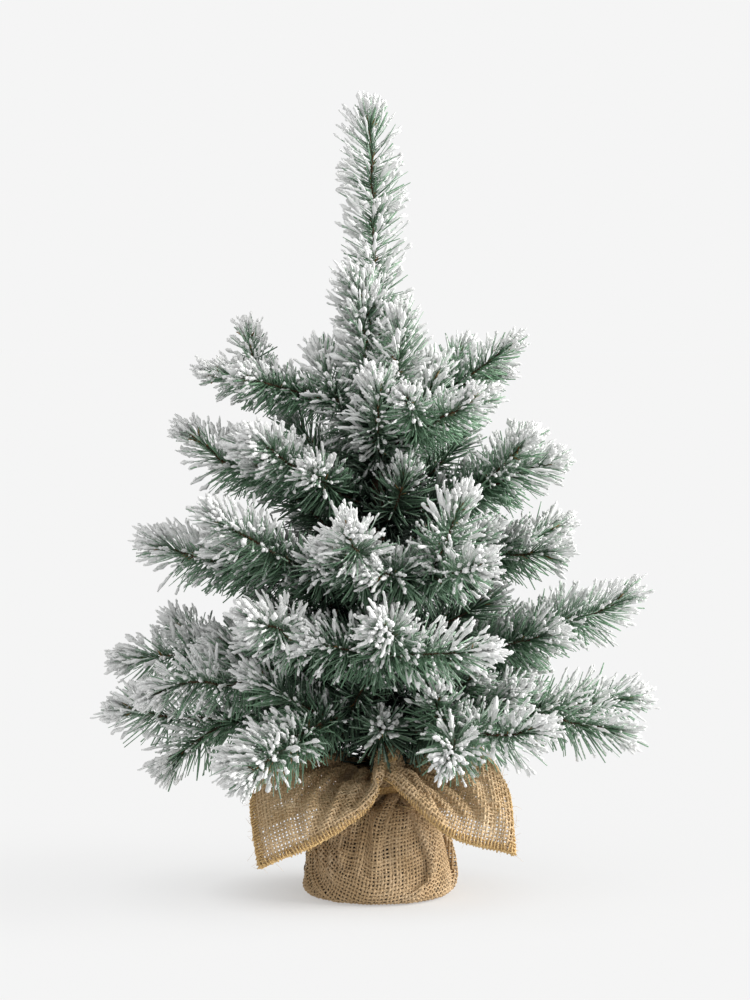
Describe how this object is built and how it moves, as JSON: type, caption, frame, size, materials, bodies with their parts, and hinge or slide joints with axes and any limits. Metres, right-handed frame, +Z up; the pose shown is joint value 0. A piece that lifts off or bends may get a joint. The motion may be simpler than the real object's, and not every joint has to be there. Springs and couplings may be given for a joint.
{
  "type": "artificial tabletop tree",
  "caption": "Small artificial conifer with snow-flocked wired branches, standing in a cement weight wrapped in burlap that is tied at the neck and falls in corner flaps.",
  "frame": {"origin": "Middle of the burlap's underside, on the surface the tree stands on.", "axes": "+Z up along the trunk, +X to the tree's right and +Y to its back, seen from the pictured side."},
  "size_m": [0.4177, 0.3613, 0.5942],
  "materials": {
    "cement": "rough cast",
    "burlap": "open plain weave with overlocked edges",
    "twine": "twisted jute",
    "steel": "drawn rod",
    "brown_tape": "steel wire bound in brown tape",
    "flocked_needles": "dark green needles under white flock"
  },
  "bodies": {
    "base": {"cement_weight": "cement", "burlap_wrap": "burlap", "burlap_flaps": "burlap", "neck_tie": "twine", "trunk_core": "steel", "trunk_bundle": "brown_tape"},
    "a1": {"a1_wire": "brown_tape", "a1_needles": "flocked_needles"},
    "a2": {"a2_wire": "brown_tape", "a2_needles": "flocked_needles"},
    "a3": {"a3_wire": "brown_tape", "a3_needles": "flocked_needles"},
    "a4": {"a4_wire": "brown_tape", "a4_needles": "flocked_needles"},
    "a5": {"a5_wire": "brown_tape", "a5_needles": "flocked_needles"},
    "a6": {"a6_wire": "brown_tape", "a6_needles": "flocked_needles"},
    "b1": {"b1_wire": "brown_tape", "b1_needles": "flocked_needles"},
    "b2": {"b2_wire": "brown_tape", "b2_needles": "flocked_needles"},
    "b3": {"b3_wire": "brown_tape", "b3_needles": "flocked_needles"},
    "b4": {"b4_wire": "brown_tape", "b4_needles": "flocked_needles"},
    "b5": {"b5_wire": "brown_tape", "b5_needles": "flocked_needles"},
    "b6": {"b6_wire": "brown_tape", "b6_needles": "flocked_needles"},
    "b7": {"b7_wire": "brown_tape", "b7_needles": "flocked_needles"},
    "c1": {"c1_wire": "brown_tape", "c1_needles": "flocked_needles"},
    "c2": {"c2_wire": "brown_tape", "c2_needles": "flocked_needles"},
    "c3": {"c3_wire": "brown_tape", "c3_needles": "flocked_needles"},
    "c4": {"c4_wire": "brown_tape", "c4_needles": "flocked_needles"},
    "c5": {"c5_wire": "brown_tape", "c5_needles": "flocked_needles"},
    "c6": {"c6_wire": "brown_tape", "c6_needles": "flocked_needles"},
    "d1": {"d1_wire": "brown_tape", "d1_needles": "flocked_needles"},
    "d2": {"d2_wire": "brown_tape", "d2_needles": "flocked_needles"},
    "d3": {"d3_wire": "brown_tape", "d3_needles": "flocked_needles"},
    "d4": {"d4_wire": "brown_tape", "d4_needles": "flocked_needles"},
    "e1": {"e1_wire": "brown_tape", "e1_needles": "flocked_needles"},
    "e2": {"e2_wire": "brown_tape", "e2_needles": "flocked_needles"},
    "e3": {"e3_wire": "brown_tape", "e3_needles": "flocked_needles"},
    "leader": {"leader_wire": "brown_tape", "leader_needles": "flocked_needles"}
  },
  "joints": [
    {"name": "a1_bend", "type": "hinge", "parent": "base", "child": "a1", "pos_m": [-0.00371, -0.00669, 0.14228], "axis": [-0.8746, 0.4848, 0], "range_deg": [-17, 19]},
    {"name": "a2_bend", "type": "hinge", "parent": "base", "child": "a2", "pos_m": [-0.00771, 0, 0.13246], "axis": [0, 1, 0], "range_deg": [-13, 15]},
    {"name": "a3_bend", "type": "hinge", "parent": "base", "child": "a3", "pos_m": [0.00455, -0.00626, 0.12755], "axis": [-0.809, -0.5878, 0], "range_deg": [-13, 17]},
    {"name": "a4_bend", "type": "hinge", "parent": "base", "child": "a4", "pos_m": [0.00758, -0.0012, 0.13737], "axis": [-0.1564, -0.9877, 0], "range_deg": [-19, 13]},
    {"name": "a5_bend", "type": "hinge", "parent": "base", "child": "a5", "pos_m": [0.0059, 0.00496, 0.13246], "axis": [0.6428, -0.766, 0], "range_deg": [-14, 15]},
    {"name": "a6_bend", "type": "hinge", "parent": "base", "child": "a6", "pos_m": [-0.00237, 0.0073, 0.13737], "axis": [0.9511, 0.309, 0], "range_deg": [-14, 12]},
    {"name": "b1_bend", "type": "hinge", "parent": "base", "child": "b1", "pos_m": [-0.00692, -0.0028, 0.17174], "axis": [-0.3746, 0.9272, 0], "range_deg": [-32, 45]},
    {"name": "b2_bend", "type": "hinge", "parent": "base", "child": "b2", "pos_m": [-0.00349, -0.00656, 0.17665], "axis": [-0.8829, 0.4695, 0], "range_deg": [-19, 39]},
    {"name": "b3_bend", "type": "hinge", "parent": "base", "child": "b3", "pos_m": [0.00026, -0.00746, 0.17174], "axis": [-0.9994, -0.0349, 0], "range_deg": [-17, 11]},
    {"name": "b4_bend", "type": "hinge", "parent": "base", "child": "b4", "pos_m": [0.00749, 0, 0.16683], "axis": [0, -1, 0], "range_deg": [-13, 12]},
    {"name": "b5_bend", "type": "hinge", "parent": "base", "child": "b5", "pos_m": [0.00416, 0.00616, 0.17665], "axis": [0.829, -0.5592, 0], "range_deg": [-15, 17]},
    {"name": "b6_bend", "type": "hinge", "parent": "base", "child": "b6", "pos_m": [-0.00396, 0.00633, 0.17174], "axis": [0.848, 0.5299, 0], "range_deg": [-11, 15]},
    {"name": "b7_bend", "type": "hinge", "parent": "base", "child": "b7", "pos_m": [-0.00739, 0.00144, 0.16192], "axis": [0.1908, 0.9816, 0], "range_deg": [-16, 13]},
    {"name": "c1_bend", "type": "hinge", "parent": "base", "child": "c1", "pos_m": [-0.0071, 0, 0.23066], "axis": [0, 1, 0], "range_deg": [-15, 20]},
    {"name": "c2_bend", "type": "hinge", "parent": "base", "child": "c2", "pos_m": [-0.00527, -0.00475, 0.23066], "axis": [-0.6691, 0.7431, 0], "range_deg": [-35, 14]},
    {"name": "c3_bend", "type": "hinge", "parent": "base", "child": "c3", "pos_m": [-0.00086, -0.00704, 0.23066], "axis": [-0.9925, 0.1219, 0], "range_deg": [-19, 45]},
    {"name": "c4_bend", "type": "hinge", "parent": "base", "child": "c4", "pos_m": [0.003, -0.00643, 0.23066], "axis": [-0.9063, -0.4226, 0], "range_deg": [-13, 30]},
    {"name": "c5_bend", "type": "hinge", "parent": "base", "child": "c5", "pos_m": [0.00661, 0.00267, 0.22575], "axis": [0.3746, -0.9272, 0], "range_deg": [-17, 19]},
    {"name": "c6_bend", "type": "hinge", "parent": "base", "child": "c6", "pos_m": [0.00025, 0.00706, 0.23557], "axis": [0.9994, -0.0349, 0], "range_deg": [-18, 20]},
    {"name": "d1_bend", "type": "hinge", "parent": "base", "child": "d1", "pos_m": [-0.00671, -0.00047, 0.28958], "axis": [-0.0698, 0.9976, 0], "range_deg": [-24, 11]},
    {"name": "d2_bend", "type": "hinge", "parent": "base", "child": "d2", "pos_m": [-0.0049, -0.00457, 0.29449], "axis": [-0.682, 0.7314, 0], "range_deg": [-20, 45]},
    {"name": "d3_bend", "type": "hinge", "parent": "base", "child": "d3", "pos_m": [0.00658, -0.0014, 0.28958], "axis": [-0.2079, -0.9781, 0], "range_deg": [-22, 19]},
    {"name": "d4_bend", "type": "hinge", "parent": "base", "child": "d4", "pos_m": [-0.00023, 0.0067, 0.29449], "axis": [0.9994, 0.0349, 0], "range_deg": [-25, 25]},
    {"name": "e1_bend", "type": "hinge", "parent": "base", "child": "e1", "pos_m": [-0.00615, -0.00086, 0.37305], "axis": [-0.1392, 0.9903, 0], "range_deg": [-17, 45]},
    {"name": "e2_bend", "type": "hinge", "parent": "base", "child": "e2", "pos_m": [0.00368, -0.00526, 0.33868], "axis": [-0.8191, -0.5736, 0], "range_deg": [-35, 45]},
    {"name": "e3_bend", "type": "hinge", "parent": "base", "child": "e3", "pos_m": [0.006, 0.00172, 0.36814], "axis": [0.2756, -0.9613, 0], "range_deg": [-24, 28]},
    {"name": "leader_bend", "type": "hinge", "parent": "base", "child": "leader", "pos_m": [0, 0, 0.39073], "axis": [0, 1, 0], "range_deg": [-30, 25]}
  ]
}
